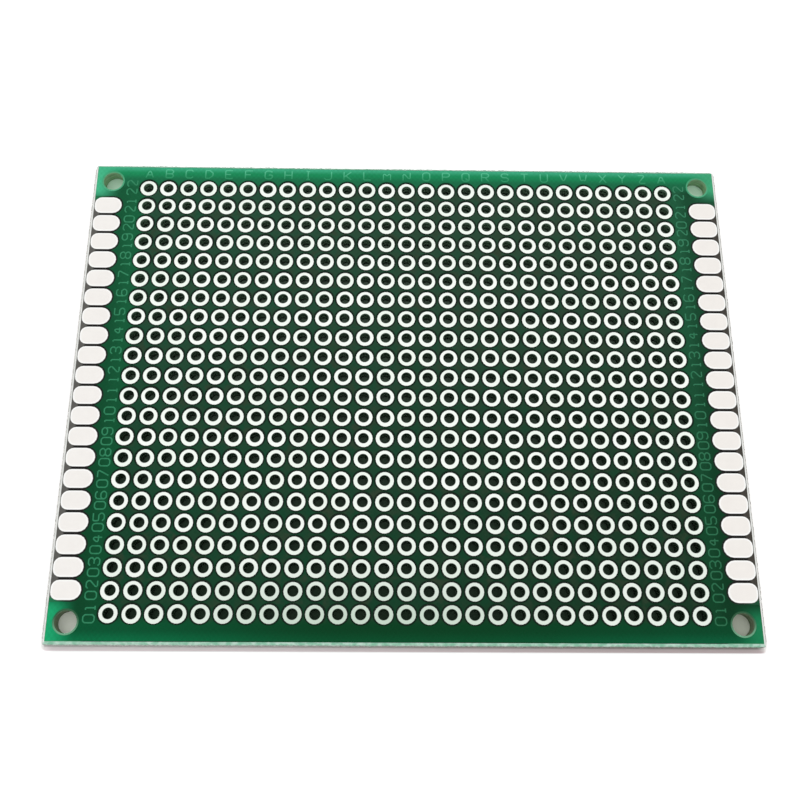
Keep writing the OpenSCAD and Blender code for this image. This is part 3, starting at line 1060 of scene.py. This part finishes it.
# Painted light on the paper under the board, seen through the mounting holes: darker to the right and
# greener to the back
front_floor = paper.blend(to_right, looks(252, 254, 244), looks(224, 228, 214))
under_board = paper.blend(to_back, front_floor, looks(222, 253, 232))
on_side = paper.rise(paper.maths("SUBTRACT", past_x, past_y), *SIDE_TURN)
front_contact = paper.blend(to_right, looks(204, 193, 195), looks(166, 150, 150))
side_contact = paper.blend(to_right, looks(186, 185, 182), looks(236, 234, 230))
contact = paper.blend(on_side, front_contact, side_contact)
front_shadow = paper.blend(to_right, looks(244, 231, 235), looks(214, 196, 199))
side_shadow = paper.blend(to_right, looks(226, 225, 223), looks(250, 249, 246))
shadow = paper.blend(on_side, front_shadow, side_shadow)
tone = paper.blend(paper.rise(past_edge, *CONTACT_RUN), under_board, contact)
tone = paper.blend(paper.rise(past_edge, *SHADOW_RUN), tone, shadow)
tone = paper.blend(paper.rise(past_edge, *OPEN_RUN), tone, looks(250, 250, 250))
through_holes = paper.blend(to_back, looks(78, 98, 82), looks(146, 166, 150))
paper.set(Base_Color=paper.blend(under_grid, tone, through_holes))
paper.set(Specular_IOR_Level=0.0, Roughness=1.0)

glow_start = paper.maths("MULTIPLY_ADD", on_side, -SOONER_ON_SIDES, GLOW_START)
open_floor = paper.rise(past_edge, glow_start, GLOW_FULL)
ray = paper.tree.nodes.new("ShaderNodeLightPath")
seen = paper.maths("MAXIMUM", ray.outputs["Is Camera Ray"], ray.outputs["Is Glossy Ray"])
seen = paper.maths("MAXIMUM", seen, ray.outputs["Is Transmission Ray"])
glow = paper.maths("MULTIPLY", paper.maths("MULTIPLY", open_floor, seen), OPEN_GLOW)
paper.set(Emission_Color=(1, 1, 1, 1), Emission_Strength=glow)
floor_mesh.materials.append(paper.material)
print("floor:", FLOOR_SIZE, "m square")

# %% Sky and lamp
SKY_LIGHT = 0.85
LAMP_SIZE = 0.25
LAMP_WATTS = 0.45
LAMP_PLACE = (-0.24, 0.30, 0.34)

world = bpy.data.worlds.new("white_studio")
scene.world = world
world.use_nodes = True
sky = world.node_tree
lit = sky.nodes["Background"]
lit.inputs["Color"].default_value = (1, 1, 1, 1)
lit.inputs["Strength"].default_value = SKY_LIGHT
seen = sky.nodes.new("ShaderNodeBackground")
seen.inputs["Color"].default_value = (1, 1, 1, 1)
seen.inputs["Strength"].default_value = 1.0
ray = sky.nodes.new("ShaderNodeLightPath")
shiny = sky.nodes.new("ShaderNodeMath")
shiny.operation = "MAXIMUM"
sky.links.new(ray.outputs["Is Glossy Ray"], shiny.inputs[0])
sky.links.new(ray.outputs["Is Transmission Ray"], shiny.inputs[1])
direct = sky.nodes.new("ShaderNodeMath")
direct.operation = "MAXIMUM"
sky.links.new(shiny.outputs[0], direct.inputs[0])
sky.links.new(ray.outputs["Is Camera Ray"], direct.inputs[1])
choose = sky.nodes.new("ShaderNodeMixShader")
sky.links.new(direct.outputs[0], choose.inputs["Fac"])
sky.links.new(lit.outputs[0], choose.inputs[1])
sky.links.new(seen.outputs[0], choose.inputs[2])
sky.links.new(choose.outputs[0], sky.nodes["World Output"].inputs["Surface"])

lamp_data = bpy.data.lights.new("broad_lamp", "AREA")
lamp_data.size = LAMP_SIZE
lamp_data.energy = LAMP_WATTS
lamp = bpy.data.objects.new("broad_lamp", lamp_data)
lamp.location = LAMP_PLACE
lamp.rotation_euler = (-Vector(lamp.location)).to_track_quat("-Z", "Y").to_euler()
lamp.visible_glossy = False
scene.collection.objects.link(lamp)
scene.view_settings.view_transform = "Standard"
print("sky", SKY_LIGHT, "lamp", LAMP_WATTS, "W")
